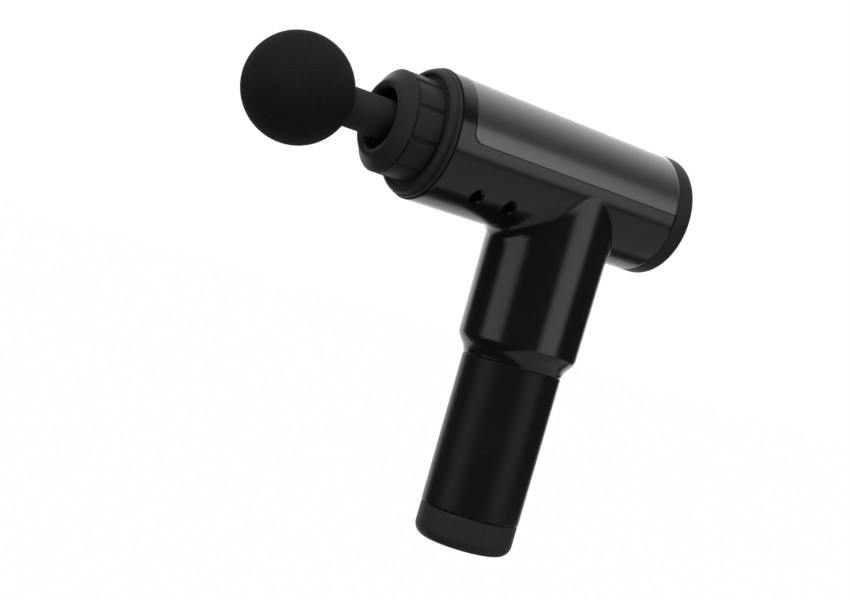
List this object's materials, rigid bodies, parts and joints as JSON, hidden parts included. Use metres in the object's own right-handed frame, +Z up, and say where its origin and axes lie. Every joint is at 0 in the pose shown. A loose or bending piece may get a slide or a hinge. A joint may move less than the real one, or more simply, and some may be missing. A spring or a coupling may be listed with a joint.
{
  "type": "massage gun",
  "caption": "Cordless percussion massage gun: T-shaped body with a crank drive, a removable ball head on a plunger, a rubber grip and a rear control button",
  "frame": {"origin": "centre of the handle's flat bottom face, on which the gun stands", "axes": "+Z up along the handle's axis, -X along the barrel towards the head, +Y to the side; the barrel's axis is parallel to X at z = 0.187 m"},
  "size_m": [0.2394, 0.064, 0.219],
  "materials": {
    "gloss_housing": "gloss",
    "cover": "gloss",
    "matte_trim": "matte",
    "inner_plastic": "matte",
    "head_plastic": "satin",
    "grip": "matte",
    "foam": "matte",
    "seal": "matte",
    "lens": "polished",
    "light_pipe": "gloss",
    "cast_aluminium": "satin",
    "steel": "satin",
    "magnets": "satin",
    "windings": "gloss",
    "boards": "satin",
    "capacitors": "gloss",
    "cells": "satin",
    "leads": "satin"
  },
  "bodies": {
    "housing": {"base_cap": "matte_trim", "base_screw_1": "steel", "base_screw_2": "steel", "battery_board": "boards", "battery_cell_1": "cells", "battery_cell_2": "cells", "battery_cell_3": "cells", "battery_lead": "leads", "battery_tube": "inner_plastic", "capacitor_1": "capacitors", "capacitor_2": "capacitors", "capacitor_3": "capacitors", "cell_holder": "inner_plastic", "charge_lead": "leads", "charge_light": "light_pipe", "charge_socket": "inner_plastic", "control_board": "boards", "control_lens": "lens", "display_board": "boards", "display_lead": "leads", "drive_frame": "cast_aluminium", "grip_sleeve": "grip", "housing_screw_1": "steel", "housing_screw_2": "steel", "housing_screw_3": "steel", "housing_screw_4": "steel", "lower_bearing": "steel", "main_housing": "gloss_housing", "motor_lead": "leads", "motor_stator": "windings", "nose_collar": "matte_trim", "nose_ring": "matte_trim", "nose_seal": "seal", "plunger_bush": "inner_plastic", "rear_cap": "matte_trim", "switch_case": "inner_plastic", "top_cover": "cover", "upper_bearing": "steel", "wiper_seal": "seal"},
    "crank": {"crank_wheel": "steel", "crank_pin": "steel", "crank_pin_screw": "steel", "motor_shaft": "steel", "rotor_bell": "steel", "rotor_magnets": "magnets"},
    "rod": {"connecting_rod": "cast_aluminium", "rod_bearing": "steel", "wrist_pin": "steel"},
    "plunger": {"plunger": "cast_aluminium"},
    "head": {"head_ball": "foam", "head_stem": "head_plastic", "stem_ring_1": "seal", "stem_ring_2": "seal"},
    "button": {"level_button": "matte_trim"},
    "rocker": {"power_rocker": "matte_trim"}
  },
  "joints": [
    {"name": "crank_spin", "type": "hinge", "parent": "housing", "child": "crank", "pos_m": [0, 0, 0.175], "axis": [0, 0, 1], "range_deg": [0, 180]},
    {"name": "rod_turn", "type": "hinge", "parent": "crank", "child": "rod", "pos_m": [0.006, 0, 0.187], "axis": [0, 0, 1], "range_deg": [-180, 0]},
    {"name": "plunger_stroke", "type": "slide", "parent": "housing", "child": "plunger", "axis": [-1, 0, 0], "range_m": [0, 0.012]},
    {"name": "head_pull", "type": "slide", "parent": "plunger", "child": "head", "axis": [-1, 0, 0], "range_m": [0, 0.045]},
    {"name": "level_press", "type": "slide", "parent": "housing", "child": "button", "axis": [-1, 0, 0], "range_m": [0, 0.0008], "stiffness_N_per_m": 1500},
    {"name": "power_tip", "type": "hinge", "parent": "housing", "child": "rocker", "pos_m": [-0.0098, 0, 0.0042], "axis": [0, 1, 0], "range_deg": [-16, 0]}
  ],
  "couplings": [
    {"joint": "rod_turn", "follows": "crank_spin", "ratio": -1},
    {"joint": "plunger_stroke", "follows": "crank_spin", "m_per_rad": 0.0038197}
  ]
}
